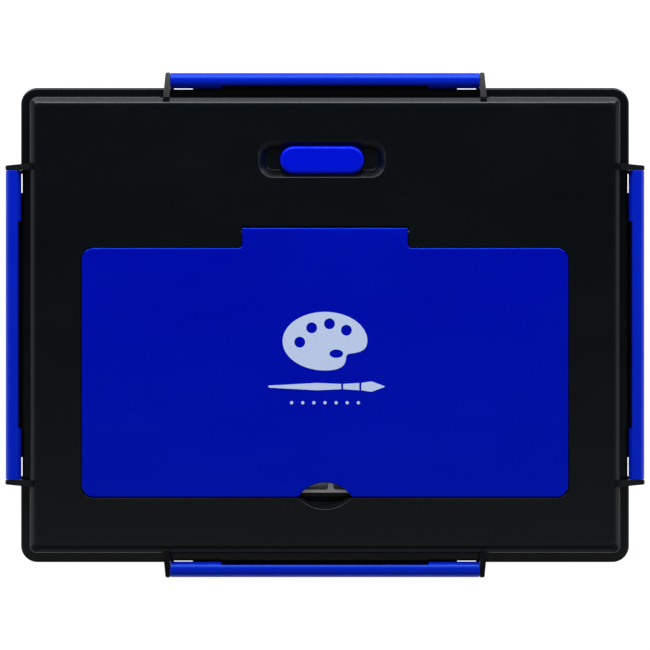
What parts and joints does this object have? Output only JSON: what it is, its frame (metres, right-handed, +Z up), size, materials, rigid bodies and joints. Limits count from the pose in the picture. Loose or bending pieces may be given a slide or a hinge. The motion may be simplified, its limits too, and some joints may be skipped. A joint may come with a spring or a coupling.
{
  "type": "wet palette",
  "caption": "Flat hobby wet palette: a water tray with foam and a palette sheet under a sealed lid held by flap latches, with a hinged storage door, a wells tray and a vent plug.",
  "frame": {"origin": "under the middle of the feet, on the surface that the palette stands on", "axes": "+X along the long side to the right when the vent plug is at the back, +Y from front to back, +Z up through the lid"},
  "size_m": [0.3182, 0.2514, 0.0402],
  "materials": {
    "black_plastic": "satin moulded",
    "blue_plastic": "satin moulded",
    "white_plastic": "glossy moulded",
    "rubber": "matte",
    "seal_rubber": "soft matte silicone",
    "foam": "open-cell sponge",
    "membrane": "thin translucent sheet",
    "steel": "drawn wire"
  },
  "bodies": {
    "base": {"base_tray": "black_plastic", "foot_front_left": "rubber", "foot_front_right": "rubber", "foot_back_left": "rubber", "foot_back_right": "rubber", "hydration_foam": "foam", "palette_sheet": "membrane"},
    "lid": {"lid_shell": "black_plastic", "compartment_pan": "black_plastic", "lid_seal": "seal_rubber", "wells_tray": "white_plastic", "vent_grille": "black_plastic", "door_hinge_pin": "steel", "latch_pin_right": "steel", "latch_pin_left": "steel", "latch_pin_back": "steel", "latch_pin_front": "steel"},
    "latch_right": {"latch_right": "blue_plastic"},
    "latch_left": {"latch_left": "blue_plastic"},
    "latch_back": {"latch_back": "blue_plastic"},
    "latch_front": {"latch_front": "blue_plastic"},
    "storage_door": {"storage_door": "blue_plastic"},
    "vent_plug": {"vent_plug": "blue_plastic", "vent_seal": "seal_rubber"}
  },
  "joints": [
    {"name": "lid_lift", "type": "slide", "parent": "base", "child": "lid", "axis": [0, 0, 1], "range_m": [0, 0.08]},
    {"name": "latch_right_hinge", "type": "hinge", "parent": "lid", "child": "latch_right", "pos_m": [0.155, 0, 0.034], "axis": [0, -1, 0], "range_deg": [0, 150]},
    {"name": "latch_left_hinge", "type": "hinge", "parent": "lid", "child": "latch_left", "pos_m": [-0.155, 0, 0.034], "axis": [0, 1, 0], "range_deg": [0, 150]},
    {"name": "latch_back_hinge", "type": "hinge", "parent": "lid", "child": "latch_back", "pos_m": [0, 0.1216, 0.034], "axis": [1, 0, 0], "range_deg": [0, 150]},
    {"name": "latch_front_hinge", "type": "hinge", "parent": "lid", "child": "latch_front", "pos_m": [0, -0.1216, 0.034], "axis": [-1, 0, 0], "range_deg": [0, 150]},
    {"name": "storage_door_hinge", "type": "hinge", "parent": "lid", "child": "storage_door", "pos_m": [0, 0.046, 0.038], "axis": [-1, 0, 0], "range_deg": [0, 110]},
    {"name": "vent_plug_pull", "type": "slide", "parent": "lid", "child": "vent_plug", "axis": [0, 0, 1], "range_m": [0, 0.01]}
  ]
}
